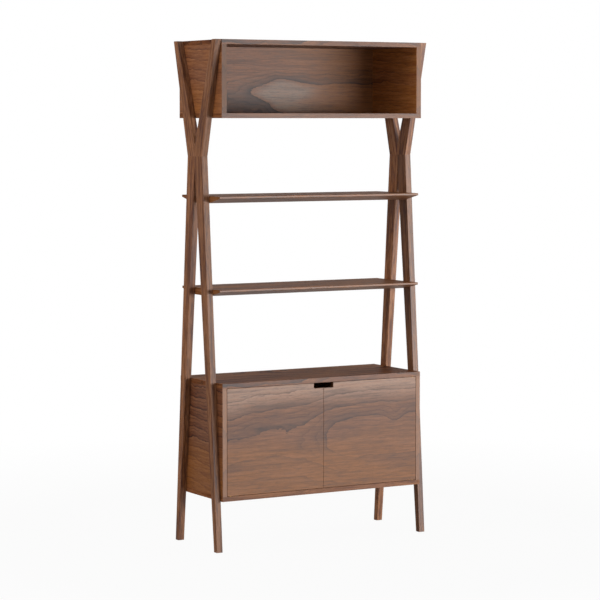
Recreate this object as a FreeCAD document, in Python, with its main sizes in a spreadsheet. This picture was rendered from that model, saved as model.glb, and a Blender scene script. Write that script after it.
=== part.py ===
"""Zigzag bookshelf in walnut, as a parametric document.

Two side frames of tapering limbs carry an open cubby, two bevelled shelves and a cabinet with two inset
doors on pivot hinges. Millimetres, +X to the right, +Y to the back, +Z up, with the origin on the floor
under the middle.
"""
import FreeCAD, Part
import os
import re
from math import pi

import Sketcher

# Driving dimensions, in millimetres.
SIZES = {
    # Overall, and the boards between the side frames.
    "overall_height": 2000,
    "case_width": 916,
    "case_depth": 355,
    "board_thickness": 19,
    "edge_round": 0.6,
    # Side frames: widths of the limbs are measured along Y.
    "frame_thickness": 26,
    "foot_spread": 353,
    "arm_spread": 352,
    "leg_foot_width": 25,
    "arm_top_width": 32,
    "waist_width": 119,
    "waist_drop": 149,
    "leg_seam": 47,
    "arm_seam": 43,
    "limb_round": 1.5,
    # Foot glides.
    "glide_height": 1,
    "glide_radius": 9,
    "glide_stem_radius": 3,
    "glide_stem_length": 12,
    # Cubby and shelves.
    "cubby_height": 304,
    "cubby_side": 22,
    "shelf_drop": 155,
    "shelf_depth": 318,
    "shelf_thickness": 28,
    "shelf_nose": 8.5,
    "shelf_bevel": 90,
    "nose_round": 2,
    # Cabinet, its inner shelf and the back panels.
    "cabinet_base": 200,
    "cabinet_height": 464,
    "cabinet_side": 19,
    "back_thickness": 9,
    "back_setback": 10,
    "groove_depth": 8,
    "groove_slack": 0.3,
    "inner_shelf_thickness": 18,
    "inner_shelf_height": 214,
    "inner_shelf_recess": 14,
    "inner_shelf_slack": 1,
    "peg_radius": 2.5,
    "peg_length": 16,
    "peg_inset": 45,
    "peg_hole_pitch": 32,
    # Doors and their finger notch.
    "door_thickness": 19,
    "door_gap": 1.5,
    "meeting_gap": 1,
    "notch_width": 90,
    "notch_height": 21,
    "notch_round": 3,
    # Pivot hinges.
    "pivot_inset": 14,
    "pivot_setback": 6,
    "pivot_radius": 2.5,
    "pivot_clearance": 0.05,
    "pivot_reach": 7,
    "pivot_hole_slack": 0.5,
    "plate_length": 46,
    "plate_width": 11,
    "plate_thickness": 2.5,
    "washer_radius": 5,
    # Screws.
    "screw_radius": 1.5,
    "screw_head_radius": 3,
    "screw_length": 13,
    "screw_slack": 0.1,
    "screw_spacing": 16,
    # Magnetic catch.
    "catch_width": 54,
    "catch_depth": 14,
    "catch_height": 19,
    "catch_flange": 5,
    "magnet_spacing": 22,
    "magnet_radius": 4.5,
    "magnet_length": 8,
    "striker_radius": 6,
    "striker_thickness": 1.5,
    "striker_stem_radius": 1.6,
    "striker_stem_length": 10,
    "striker_gap": 0.3,
    # Dowels.
    "dowel_radius": 4,
    "dowel_reach": 12,
    "dowel_slack": 0.1,
    "seam_dowel_reach": 20,
    "case_dowel_row": 125,
    "arm_dowel_margin": 54,
    "leg_dowel_margin": 100,
}

doc = FreeCAD.newDocument("ZigzagBookshelf")
sheet = doc.addObject("Spreadsheet::Sheet", "Sizes")
for row, (alias, value) in enumerate(SIZES.items(), start=1):
    sheet.set(f"A{row}", alias)
    sheet.set(f"B{row}", str(value))
    sheet.setAlias(f"B{row}", alias)
doc.recompute()

# Levels and places that several pieces share, as formulas of the sheet's names.
HALF_CASE = "(case_width / 2)"
FRONT = "(-case_depth / 2)"
REAR = "(case_depth / 2)"
CUBBY_BASE = "(overall_height - cubby_height)"
CUBBY_INNER_TOP = "(overall_height - board_thickness)"
CUBBY_INNER_BASE = f"({CUBBY_BASE} + board_thickness)"
CABINET_TOP = "(cabinet_base + cabinet_height)"
CABINET_INNER_TOP = f"({CABINET_TOP} - board_thickness)"
CABINET_INNER_BASE = "(cabinet_base + board_thickness)"
CUBBY_INNER_HALF = f"({HALF_CASE} - cubby_side)"
CABINET_INNER_HALF = f"({HALF_CASE} - cabinet_side)"
# The waist hangs under the cubby and the upper shelf under the waist.
# The lower shelf lies midway between the upper one and the cabinet.
WAIST = f"({CUBBY_BASE} - waist_drop)"
UPPER_SHELF_TOP = f"({WAIST} - shelf_drop)"
LOWER_SHELF_TOP = f"(({CABINET_TOP} + {UPPER_SHELF_TOP}) / 2)"
FRAME_MIDDLE = f"({HALF_CASE} + frame_thickness / 2)"
HALF_WAIST = "(waist_width / 2)"
FOOT_MIDDLE = "(foot_spread / 2 - leg_foot_width / 2)"
# Each waist dowel stands three fifths of the way from the seam to the limb's outer edge.
WAIST_DOWEL = "(waist_width / 2 * 3 / 5)"
LEG_SEAM_DOWEL = f"({WAIST} - leg_seam / 2)"
ARM_SEAM_DOWEL = f"({WAIST} + arm_seam / 2)"
GROOVE_REAR = f"({REAR} - back_setback)"
BACK_FRONT = f"({GROOVE_REAR} - back_thickness)"
GROOVE_FRONT = f"({BACK_FRONT} - groove_slack)"
DOOR_BASE = f"({CABINET_INNER_BASE} + door_gap)"
DOOR_TOP = f"({CABINET_INNER_TOP} - door_gap)"
DOOR_REAR = f"({FRONT} + door_thickness)"
DOOR_OUTER = f"({CABINET_INNER_HALF} - door_gap)"
PIVOT_X = f"({DOOR_OUTER} - pivot_inset)"
PIVOT_Y = f"({FRONT} + pivot_setback)"
INNER_SHELF_BASE = f"({CABINET_INNER_BASE} + inner_shelf_height)"
INNER_SHELF_FRONT = f"({DOOR_REAR} + inner_shelf_recess)"
INNER_SHELF_REAR = f"({BACK_FRONT} - inner_shelf_slack)"
CATCH_FRONT = f"({DOOR_REAR} + striker_thickness + striker_gap)"
MAGNET_LEVEL = f"({DOOR_BASE} + striker_radius + edge_round)"
DOWEL_HOLE = "(dowel_radius + dowel_slack)"
DOWEL_HOLE_DEPTH = "(dowel_reach + dowel_slack)"
SEAM_HOLE_DEPTH = "(seam_dowel_reach + dowel_slack)"

# A countersink is as deep as it is wide, which is this slope in degrees.
COUNTERSINK_SLOPE = 45
# Edges within this distance of a place, in millimetres, count as lying on it.
CLOSE = 0.001
# A cut that takes less than this volume, in cubic millimetres, has missed its piece.
LEAST_CUT = 0.01

LEFT, RIGHT = -1, 1
FRONT_LIMB, REAR_LIMB = -1, 1
SIDE_NAMES = {LEFT: "left", RIGHT: "right"}
LIMB_NAMES = {FRONT_LIMB: "front", REAR_LIMB: "rear"}


def terms(formula):
    """The formula as the document reads it, with each name taken from the sheet."""
    return re.sub(r"[a-z][a-z_]*", lambda word: "Sizes." + word.group(), str(formula))


def number(formula):
    """The formula's present value."""
    return float(sheet.evalExpression(terms(formula)))


def new_body(label):
    """An empty body whose label names the sub-part."""
    body = doc.addObject("PartDesign::Body", label)
    body.Label = label
    return body


def new_sketch(body, plane, offset):
    """A sketch parallel to one of the body's own origin planes, at an offset along that plane's normal."""
    sketch = body.newObject("Sketcher::SketchObject", f"{body.Label}_outline")
    support = [feature for feature in body.Origin.OriginFeatures if feature.Role == plane]
    sketch.AttachmentSupport = [(support[0], "")]
    sketch.MapMode = "FlatFace"
    sketch.setExpression("AttachmentOffset.Base.z", terms(offset))
    return sketch


def hold_point(sketch, geometry, position, corner):
    """Ties a point of the sketch to two formulas, measured from the sketch's origin."""
    for kind, formula in zip(("DistanceX", "DistanceY"), corner):
        constraint = Sketcher.Constraint(kind, -1, 1, geometry, position, number(formula))
        index = sketch.addConstraint(constraint)
        sketch.setExpression(f"Constraints[{index}]", terms(formula))


def add_polygon(sketch, corners):
    """A closed outline through the given corners, each a pair of formulas."""
    points = [FreeCAD.Vector(number(x), number(y), 0) for x, y in corners]
    first = sketch.GeometryCount
    count = len(points)
    for start, end in zip(points, points[1:] + points[:1]):
        sketch.addGeometry(Part.LineSegment(start, end))
    for index in range(count):
        following = first + (index + 1) % count
        sketch.addConstraint(Sketcher.Constraint("Coincident", first + index, 2, following, 1))
    for index, corner in enumerate(corners):
        hold_point(sketch, first + index, 1, corner)


def add_rectangle(sketch, x_range, y_range):
    """A rectangle between two pairs of formulas."""
    (left, right), (low, high) = x_range, y_range
    add_polygon(sketch, [(left, low), (right, low), (right, high), (left, high)])


def add_circles(sketch, centres, radius):
    """Circles of one radius about the given centres."""
    for centre in centres:
        middle = FreeCAD.Vector(number(centre[0]), number(centre[1]), 0)
        circle = sketch.addGeometry(Part.Circle(middle, FreeCAD.Vector(0, 0, 1), number(radius)))
        hold_point(sketch, circle, 3, centre)
        index = sketch.addConstraint(Sketcher.Constraint("Radius", circle, number(radius)))
        sketch.setExpression(f"Constraints[{index}]", terms(radius))


def add_slot(sketch, start, end, radius):
    """A slot along the sketch's X axis: two half circles about start and end, joined by two lines."""
    up = FreeCAD.Vector(0, 0, 1)
    r = number(radius)
    a = FreeCAD.Vector(number(start[0]), number(start[1]), 0)
    b = FreeCAD.Vector(number(end[0]), number(end[1]), 0)
    if a.x > b.x:
        a, b, start, end = b, a, end, start
    drop = FreeCAD.Vector(0, r, 0)
    first = sketch.addGeometry(Part.ArcOfCircle(Part.Circle(a, up, r), pi / 2, 3 * pi / 2))
    last = sketch.addGeometry(Part.ArcOfCircle(Part.Circle(b, up, r), -pi / 2, pi / 2))
    low = sketch.addGeometry(Part.LineSegment(a - drop, b - drop))
    high = sketch.addGeometry(Part.LineSegment(a + drop, b + drop))
    for one, one_end, other, other_end in (
        (first, 1, high, 1), (first, 2, low, 1), (low, 2, last, 1), (high, 2, last, 2)
    ):
        sketch.addConstraint(Sketcher.Constraint("Tangent", one, one_end, other, other_end))
    sketch.addConstraint(Sketcher.Constraint("Equal", first, last))
    hold_point(sketch, first, 3, start)
    hold_point(sketch, last, 3, end)
    index = sketch.addConstraint(Sketcher.Constraint("Radius", first, r))
    sketch.setExpression(f"Constraints[{index}]", terms(radius))


def add_pad(body, sketch, length, against_normal=False, symmetric=False, taper=0):
    """Material along the sketch's normal, against it, or to both sides."""
    pad = body.newObject("PartDesign::Pad", f"{body.Label}_pad")
    pad.Profile = sketch
    pad.setExpression("Length", terms(length))
    pad.Reversed = against_normal
    pad.TaperAngle = taper
    if symmetric:
        pad.SideType = "Symmetric"
    return pad


def add_pocket(body, sketch, depth, along_normal):
    """A cut of the given depth, along the sketch's normal or against it."""
    pocket = body.newObject("PartDesign::Pocket", f"{body.Label}_pocket")
    pocket.Profile = sketch
    pocket.setExpression("Length", terms(depth))
    pocket.Reversed = along_normal
    return pocket


def round_edges(body, feature, radius, wanted):
    """A fillet on the feature's edges that the test picks."""
    doc.recompute()
    names = [f"Edge{index}" for index, edge in enumerate(feature.Shape.Edges, start=1) if wanted(edge)]
    fillet = body.newObject("PartDesign::Fillet", f"{body.Label}_round")
    fillet.Base = (feature, names)
    fillet.setExpression("Radius", terms(radius))
    return fillet


def direction(edge):
    """Unit vector between a straight edge's ends."""
    span = edge.Vertexes[-1].Point - edge.Vertexes[0].Point
    return span.normalize()


def level(edge, axis):
    """Where a straight edge lies on an axis, at its middle."""
    return getattr(edge.BoundBox.Center, axis)


def runs_along(edge, axis):
    """True for an edge parallel to the named axis."""
    return abs(getattr(direction(edge), axis)) > 0.999


def at(edge, axis, formula):
    """True for an edge whose whole length lies at one value of an axis."""
    box = edge.BoundBox
    place = number(formula)
    low, high = getattr(box, axis.upper() + "Min"), getattr(box, axis.upper() + "Max")
    return abs(low - place) < CLOSE and abs(high - place) < CLOSE


def scaled(sign, formula):
    """The formula, mirrored where the sign is negative."""
    return f"({sign} * {formula})"


def span(side, inner, outer):
    """A range on the side's own half of an axis, from low to high."""
    pair = (scaled(side, inner), scaled(side, outer))
    return pair if side > 0 else pair[::-1]


def leg_middle(height):
    """Distance of a leg's centre line from the frame's middle plane at a height."""
    outer_run = f"({height} - glide_height) / ({WAIST} - glide_height)"
    outer = f"(foot_spread / 2 - (foot_spread / 2 - waist_width / 2) * {outer_run})"
    inner_run = f"({height} - glide_height) / ({WAIST} - leg_seam - glide_height)"
    inner = f"((foot_spread / 2 - leg_foot_width) * (1 - {inner_run}))"
    return f"(({outer} + {inner}) / 2)"


def arm_middle(height):
    """Distance of an arm's centre line from the frame's middle plane at a height."""
    outer_run = f"({height} - {WAIST}) / (overall_height - {WAIST})"
    outer = f"(waist_width / 2 + (arm_spread / 2 - waist_width / 2) * {outer_run})"
    inner_run = f"({height} - {WAIST} - arm_seam) / (overall_height - {WAIST} - arm_seam)"
    inner = f"((arm_spread / 2 - arm_top_width) * {inner_run})"
    return f"(({outer} + {inner}) / 2)"


# Heights of the dowels that tie the limbs to what they carry.
UPPER_SHELF_DOWEL = f"({UPPER_SHELF_TOP} - shelf_thickness / 2)"
LOWER_SHELF_DOWEL = f"({LOWER_SHELF_TOP} - shelf_thickness / 2)"
CABINET_DOWELS = ("(cabinet_base + leg_dowel_margin)", f"({CABINET_TOP} - leg_dowel_margin)")
CUBBY_DOWELS = (f"({CUBBY_BASE} + arm_dowel_margin)", "(overall_height - arm_dowel_margin)")
LEG_DOWELS = (UPPER_SHELF_DOWEL, LOWER_SHELF_DOWEL) + CABINET_DOWELS


def limb_dowels(heights, middle, limb):
    """Places, in Y and Z, of a limb's dowels along its centre line."""
    return [(scaled(limb, middle(height)), height) for height in heights]


def drill_along_x(body, side, centres, radius, depth, place, inwards):
    """Blind holes along X that start at a side's plane and run towards the middle or away from it."""
    holes = new_sketch(body, "YZ_Plane", scaled(side, place))
    add_circles(holes, centres, radius)
    add_pocket(body, holes, depth, along_normal=(side < 0) == inwards)


def make_limb(label, side, outline):
    """A limb of a side frame: its outline in Y and Z, as thick as the frame, with its long edges rounded."""
    body = new_body(label)
    start = HALF_CASE if side > 0 else f"(-{HALF_CASE} - frame_thickness)"
    sketch = new_sketch(body, "YZ_Plane", start)
    add_polygon(sketch, outline)
    pad = add_pad(body, sketch, "frame_thickness")

    def long_or_top(edge):
        along = direction(edge)
        slanted = abs(along.z) > 0.5 and abs(along.y) > 0.01
        return slanted or at(edge, "z", "overall_height")

    round_edges(body, pad, "limb_round", long_or_top)
    return body


def drill_seam(body, side, limb, height):
    """The limb's half of the dowel that crosses the glued seam between front and rear."""
    hole = new_sketch(body, "XZ_Plane", 0)
    add_circles(hole, [(scaled(side, FRAME_MIDDLE), height)], DOWEL_HOLE)
    add_pocket(body, hole, SEAM_HOLE_DEPTH, along_normal=limb == FRONT_LIMB)


def drill_waist(body, side, limb, upwards):
    """The limb's half of the upright dowel that joins arm and leg at the waist."""
    hole = new_sketch(body, "XY_Plane", WAIST)
    add_circles(hole, [(scaled(side, FRAME_MIDDLE), scaled(limb, WAIST_DOWEL))], DOWEL_HOLE)
    add_pocket(body, hole, SEAM_HOLE_DEPTH, along_normal=upwards)


def make_leg(side, limb):
    """A leg: it tapers from the waist to the foot, and meets its twin along the seam under the waist."""
    outline = [
        (scaled(limb, "foot_spread / 2"), "glide_height"),
        (scaled(limb, "(foot_spread / 2 - leg_foot_width)"), "glide_height"),
        ("0", f"({WAIST} - leg_seam)"),
        ("0", WAIST),
        (scaled(limb, HALF_WAIST), WAIST),
    ]
    body = make_limb(f"{SIDE_NAMES[side]}_{LIMB_NAMES[limb]}_leg", side, outline)
    drill_along_x(body, side, limb_dowels(LEG_DOWELS, leg_middle, limb), DOWEL_HOLE, DOWEL_HOLE_DEPTH,
                  HALF_CASE, inwards=False)
    drill_seam(body, side, limb, LEG_SEAM_DOWEL)
    drill_waist(body, side, limb, upwards=False)
    stem = new_sketch(body, "XY_Plane", "glide_height")
    add_circles(stem, [(scaled(side, FRAME_MIDDLE), scaled(limb, FOOT_MIDDLE))], "glide_stem_radius")
    add_pocket(body, stem, "glide_stem_length", along_normal=True)
    return body


def make_arm(side, limb):
    """An arm: it leans out from the waist to the cubby's top, and meets its twin along the seam."""
    outline = [
        ("0", WAIST),
        ("0", f"({WAIST} + arm_seam)"),
        (scaled(limb, "(arm_spread / 2 - arm_top_width)"), "overall_height"),
        (scaled(limb, "arm_spread / 2"), "overall_height"),
        (scaled(limb, HALF_WAIST), WAIST),
    ]
    body = make_limb(f"{SIDE_NAMES[side]}_{LIMB_NAMES[limb]}_arm", side, outline)
    drill_along_x(body, side, limb_dowels(CUBBY_DOWELS, arm_middle, limb), DOWEL_HOLE, DOWEL_HOLE_DEPTH,
                  HALF_CASE, inwards=False)
    drill_seam(body, side, limb, ARM_SEAM_DOWEL)
    drill_waist(body, side, limb, upwards=True)
    return body


def make_board(label, x_range, y_range, base, height, rounded):
    """A square-cut board with the edges that the test picks rounded over."""
    body = new_body(label)
    sketch = new_sketch(body, "XY_Plane", base)
    add_rectangle(sketch, x_range, y_range)
    pad = add_pad(body, sketch, height)
    if rounded:
        round_edges(body, pad, "edge_round", rounded)
    return body


def long_edges(edge):
    """The edges of a level board that run across the bookshelf, at its front and rear."""
    return runs_along(edge, "x")


def upright_edges(edge):
    """The standing edges of a side board."""
    return runs_along(edge, "z")


def case_dowel_places(side, thickness):
    """Places, in X and Y, of the dowels between a case's side board and its top or bottom."""
    x = scaled(side, f"({HALF_CASE} - {thickness} / 2)")
    return [(x, scaled(step, "case_dowel_row")) for step in (-1, 0, 1)]


def drill_upright(body, centres, radius, depth, place, upwards):
    """Blind holes along Z that start at a level and run up or down."""
    holes = new_sketch(body, "XY_Plane", place)
    add_circles(holes, centres, radius)
    add_pocket(body, holes, depth, along_normal=upwards)


def make_case(name, side_thickness, inner_half, base, inner_base, inner_top, frame_dowels):
    """A case of top, bottom, two sides and a back panel that sits in grooves on all four."""
    across = (scaled(-1, HALF_CASE), HALF_CASE)
    deep = (FRONT, REAR)
    places = case_dowel_places(LEFT, side_thickness) + case_dowel_places(RIGHT, side_thickness)
    groove_x = (f"(-{inner_half} - groove_depth)", f"({inner_half} + groove_depth)")
    groove_y = (GROOVE_FRONT, GROOVE_REAR)
    made = {}
    for part, start, inner, up in (("top", inner_top, inner_top, True), ("bottom", base, inner_base, False)):
        body = make_board(f"{name}_{part}", across, deep, start, "board_thickness", long_edges)
        drill_upright(body, places, DOWEL_HOLE, DOWEL_HOLE_DEPTH, inner, upwards=up)
        groove = new_sketch(body, "XY_Plane", inner)
        add_rectangle(groove, groove_x, groove_y)
        add_pocket(body, groove, "groove_depth", along_normal=up)
        made[part] = body
    height = f"({inner_top} - {inner_base})"
    for side in (LEFT, RIGHT):
        label = f"{name}_{SIDE_NAMES[side]}_side"
        body = make_board(label, span(side, inner_half, HALF_CASE), deep, inner_base, height, upright_edges)
        own = case_dowel_places(side, side_thickness)
        drill_upright(body, own, DOWEL_HOLE, DOWEL_HOLE_DEPTH, inner_base, upwards=True)
        drill_upright(body, own, DOWEL_HOLE, DOWEL_HOLE_DEPTH, inner_top, upwards=False)
        drill_along_x(body, side, frame_dowels, DOWEL_HOLE, DOWEL_HOLE_DEPTH, HALF_CASE, inwards=True)
        groove = new_sketch(body, "YZ_Plane", scaled(side, inner_half))
        add_rectangle(groove, groove_y, (inner_base, inner_top))
        add_pocket(body, groove, "groove_depth", along_normal=side > 0)
        made[side] = body
    panel_half = f"({inner_half} + groove_depth - groove_slack)"
    panel_base = f"({inner_base} - groove_depth)"
    panel_height = f"({inner_top} - {inner_base} + 2 * groove_depth - groove_slack)"
    panel_x = (scaled(-1, panel_half), panel_half)
    make_board(f"{name}_back", panel_x, (BACK_FRONT, GROOVE_REAR), panel_base, panel_height, None)
    return made


def make_shelf(label, top):
    """A shelf between the frames: flat on top, with a low nose and a long bevel under its front and rear."""
    body = new_body(label)
    sketch = new_sketch(body, "YZ_Plane", scaled(-1, HALF_CASE))
    half = "(shelf_depth / 2)"
    flat = "(shelf_depth / 2 - shelf_bevel)"
    underside = f"({top} - shelf_thickness)"
    nose = f"({top} - shelf_nose)"
    add_polygon(sketch, [
        (scaled(-1, half), top), (half, top), (half, nose), (flat, underside),
        (scaled(-1, flat), underside), (scaled(-1, half), nose),
    ])
    pad = add_pad(body, sketch, "case_width")

    def nose_edges(edge):
        return runs_along(edge, "x") and abs(level(edge, "y")) > number(half) - CLOSE

    round_edges(body, pad, "nose_round", nose_edges)
    height = f"({top} - shelf_thickness / 2)"
    for side in (LEFT, RIGHT):
        centres = [(scaled(limb, leg_middle(height)), height) for limb in (FRONT_LIMB, REAR_LIMB)]
        drill_along_x(body, side, centres, DOWEL_HOLE, DOWEL_HOLE_DEPTH, HALF_CASE, inwards=True)
    return body


def hinge_slot(side):
    """Ends of a hinge plate's slot, in X and Y, for the door on one side."""
    start = (scaled(side, PIVOT_X), PIVOT_Y)
    end = (scaled(side, f"({PIVOT_X} - plate_length + plate_width)"), PIVOT_Y)
    return start, end


def hinge_screw_places(side):
    """Places, in X and Y, of a hinge plate's two screws."""
    return [(scaled(side, f"({PIVOT_X} - {count} * screw_spacing)"), PIVOT_Y) for count in (1, 2)]


def countersink(body, feature, place):
    """Widens the screw holes' mouths on the plate's outer face to the screw's head."""
    doc.recompute()
    names = []
    widest = number("screw_radius + 2 * screw_slack")
    for index, edge in enumerate(feature.Shape.Edges, start=1):
        is_circle = isinstance(edge.Curve, Part.Circle) and edge.isClosed()
        if is_circle and at(edge, "z", place) and edge.Curve.Radius < widest:
            names.append(f"Edge{index}")
    chamfer = body.newObject("PartDesign::Chamfer", f"{body.Label}_countersink")
    chamfer.Base = (feature, names)
    chamfer.setExpression("Size", terms("screw_head_radius - screw_radius"))


def make_hinge_piece(label, side, face, body_above, pin_up=None):
    """A hinge plate let in flush at a face; pin_up gives it a pin, and without one the plate is bored."""
    body = new_body(label)
    sketch = new_sketch(body, "XY_Plane", face)
    add_slot(sketch, *hinge_slot(side), "plate_width / 2")
    add_pad(body, sketch, "plate_thickness", against_normal=not body_above)
    pivot = [(scaled(side, PIVOT_X), PIVOT_Y)]
    if pin_up is not None:
        pin = new_sketch(body, "XY_Plane", face)
        add_circles(pin, pivot, "pivot_radius")
        add_pad(body, pin, "(door_gap + plate_thickness + pivot_reach)", against_normal=not pin_up)
    else:
        bore = new_sketch(body, "XY_Plane", face)
        add_circles(bore, pivot, "(pivot_radius + pivot_clearance)")
        add_pocket(body, bore, "plate_thickness", along_normal=body_above)
    holes = new_sketch(body, "XY_Plane", face)
    add_circles(holes, hinge_screw_places(side), "(screw_radius + screw_slack)")
    drilled = add_pocket(body, holes, "plate_thickness", along_normal=body_above)
    countersink(body, drilled, face)
    return body


def let_in_hinge(body, side, face, inside_above):
    """The recess for a hinge plate, and its pilot holes."""
    recess = new_sketch(body, "XY_Plane", face)
    add_slot(recess, *hinge_slot(side), "plate_width / 2")
    add_pocket(body, recess, "plate_thickness", along_normal=inside_above)
    drill_upright(body, hinge_screw_places(side), "(screw_radius + screw_slack)",
                  "(screw_length + screw_slack)", face, upwards=inside_above)


def make_screws(label, groups):
    """Countersunk screws: for each group a level, a way in, and the places in X and Y."""
    body = new_body(label)
    head = "(screw_head_radius - screw_radius)"
    for face, upwards, places in groups:
        heads = new_sketch(body, "XY_Plane", face)
        add_circles(heads, places, "screw_head_radius")
        add_pad(body, heads, head, against_normal=not upwards, taper=-COUNTERSINK_SLOPE)
        shanks = new_sketch(body, "XY_Plane", face)
        add_circles(shanks, places, "screw_radius")
        add_pad(body, shanks, "screw_length", against_normal=not upwards)
    return body


def make_door(side):
    """An inset door with its share of the finger notch, recesses for its hinge leaves and a striker hole."""
    body = new_body(f"{SIDE_NAMES[side]}_door")
    sketch = new_sketch(body, "XZ_Plane", "case_depth / 2")
    outer, meeting = scaled(side, DOOR_OUTER), scaled(side, "meeting_gap / 2")
    notch_side = scaled(side, "notch_width / 2")
    notch_base = f"({DOOR_TOP} - notch_height)"
    add_polygon(sketch, [
        (outer, DOOR_BASE), (meeting, DOOR_BASE), (meeting, notch_base),
        (notch_side, notch_base), (notch_side, DOOR_TOP), (outer, DOOR_TOP),
    ])
    pad = add_pad(body, sketch, "door_thickness", against_normal=True)

    def notch_corner(edge):
        return runs_along(edge, "y") and at(edge, "x", notch_side) and at(edge, "z", notch_base)

    def front_face(edge):
        return at(edge, "y", FRONT)

    eased = round_edges(body, pad, "notch_round", notch_corner)
    round_edges(body, eased, "edge_round", front_face)
    for face, above in ((DOOR_BASE, True), (DOOR_TOP, False)):
        let_in_hinge(body, side, face, inside_above=above)
        drill_upright(body, [(scaled(side, PIVOT_X), PIVOT_Y)], "(pivot_radius + pivot_hole_slack)",
                      "(plate_thickness + pivot_reach + door_gap)", face, upwards=above)
    hole = new_sketch(body, "XZ_Plane", f"(-{DOOR_REAR})")
    add_circles(hole, [(scaled(side, "magnet_spacing / 2"), MAGNET_LEVEL)], "striker_stem_radius")
    add_pocket(body, hole, "striker_stem_length", along_normal=True)
    return body


def make_striker(side):
    """A steel disc on the door's rear, with a stem driven into the door."""
    body = new_body(f"{SIDE_NAMES[side]}_striker")
    centre = [(scaled(side, "magnet_spacing / 2"), MAGNET_LEVEL)]
    disc = new_sketch(body, "XZ_Plane", f"(-{DOOR_REAR})")
    add_circles(disc, centre, "striker_radius")
    add_pad(body, disc, "striker_thickness", against_normal=True)
    stem = new_sketch(body, "XZ_Plane", f"(-{DOOR_REAR})")
    add_circles(stem, centre, "striker_stem_radius")
    add_pad(body, stem, "striker_stem_length")
    return body


def make_catch():
    """The catch on the cabinet's bottom: a moulded block, two magnets and two screws down its flanges."""
    half, block_half = "catch_width / 2", "(catch_width / 2 - 2 * catch_flange)"
    rear = f"({CATCH_FRONT} + catch_depth)"
    body = new_body("door_catch")
    outline = new_sketch(body, "XZ_Plane", f"(-{CATCH_FRONT})")
    flange_top = f"({CABINET_INNER_BASE} + catch_flange)"
    block_top = f"({CABINET_INNER_BASE} + catch_height)"
    add_polygon(outline, [
        (f"(-{half})", CABINET_INNER_BASE), (half, CABINET_INNER_BASE), (half, flange_top),
        (block_half, flange_top), (block_half, block_top), (f"(-{block_half})", block_top),
        (f"(-{block_half})", flange_top), (f"(-{half})", flange_top),
    ])
    add_pad(body, outline, "catch_depth", against_normal=True)
    magnets = [(scaled(side, "magnet_spacing / 2"), MAGNET_LEVEL) for side in (LEFT, RIGHT)]
    pockets = new_sketch(body, "XZ_Plane", f"(-{CATCH_FRONT})")
    add_circles(pockets, magnets, "magnet_radius")
    add_pocket(body, pockets, "magnet_length", along_normal=False)
    screw_y = f"(({CATCH_FRONT} + {rear}) / 2)"
    screws = [(scaled(side, "(catch_width / 2 - catch_flange)"), screw_y) for side in (LEFT, RIGHT)]
    holes = new_sketch(body, "XY_Plane", flange_top)
    add_circles(holes, screws, "(screw_radius + screw_slack)")
    drilled = add_pocket(body, holes, "catch_flange", along_normal=False)
    countersink(body, drilled, flange_top)
    magnet_body = new_body("catch_magnets")
    discs = new_sketch(magnet_body, "XZ_Plane", f"(-{CATCH_FRONT})")
    add_circles(discs, magnets, "magnet_radius")
    add_pad(magnet_body, discs, "magnet_length", against_normal=True)
    make_screws("catch_screws", [(flange_top, False, screws)])
    return screws, flange_top


def make_dowels(label, rows):
    """A group of dowels: for each row a plane, its offset, the centres and the reach to both sides."""
    body = new_body(label)
    for plane, offset, centres, reach in rows:
        sketch = new_sketch(body, plane, offset)
        add_circles(sketch, centres, "dowel_radius")
        add_pad(body, sketch, f"(2 * {reach})", symmetric=True)
    return body


# Side frames.
for side in (LEFT, RIGHT):
    for limb in (FRONT_LIMB, REAR_LIMB):
        make_leg(side, limb)
        make_arm(side, limb)

foot_places = [(scaled(side, FRAME_MIDDLE), scaled(limb, FOOT_MIDDLE)) for side in (LEFT, RIGHT)
               for limb in (FRONT_LIMB, REAR_LIMB)]
glides = new_body("foot_glides")
pads = new_sketch(glides, "XY_Plane", 0)
add_circles(pads, foot_places, "glide_radius")
add_pad(glides, pads, "glide_height")
stems = new_sketch(glides, "XY_Plane", 0)
add_circles(stems, foot_places, "glide_stem_radius")
add_pad(glides, stems, "(glide_height + glide_stem_length)")

# Cubby, shelves and cabinet.
cubby_places = [place for limb in (FRONT_LIMB, REAR_LIMB)
                for place in limb_dowels(CUBBY_DOWELS, arm_middle, limb)]
cabinet_places = [place for limb in (FRONT_LIMB, REAR_LIMB)
                  for place in limb_dowels(CABINET_DOWELS, leg_middle, limb)]
shelf_places = [place for limb in (FRONT_LIMB, REAR_LIMB)
                for place in limb_dowels((UPPER_SHELF_DOWEL, LOWER_SHELF_DOWEL), leg_middle, limb)]
make_case("cubby", "cubby_side", CUBBY_INNER_HALF, CUBBY_BASE, CUBBY_INNER_BASE,
          CUBBY_INNER_TOP, cubby_places)
make_shelf("upper_shelf", UPPER_SHELF_TOP)
make_shelf("lower_shelf", LOWER_SHELF_TOP)
cabinet = make_case("cabinet", "cabinet_side", CABINET_INNER_HALF, "cabinet_base", CABINET_INNER_BASE,
                    CABINET_INNER_TOP, cabinet_places)

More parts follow.
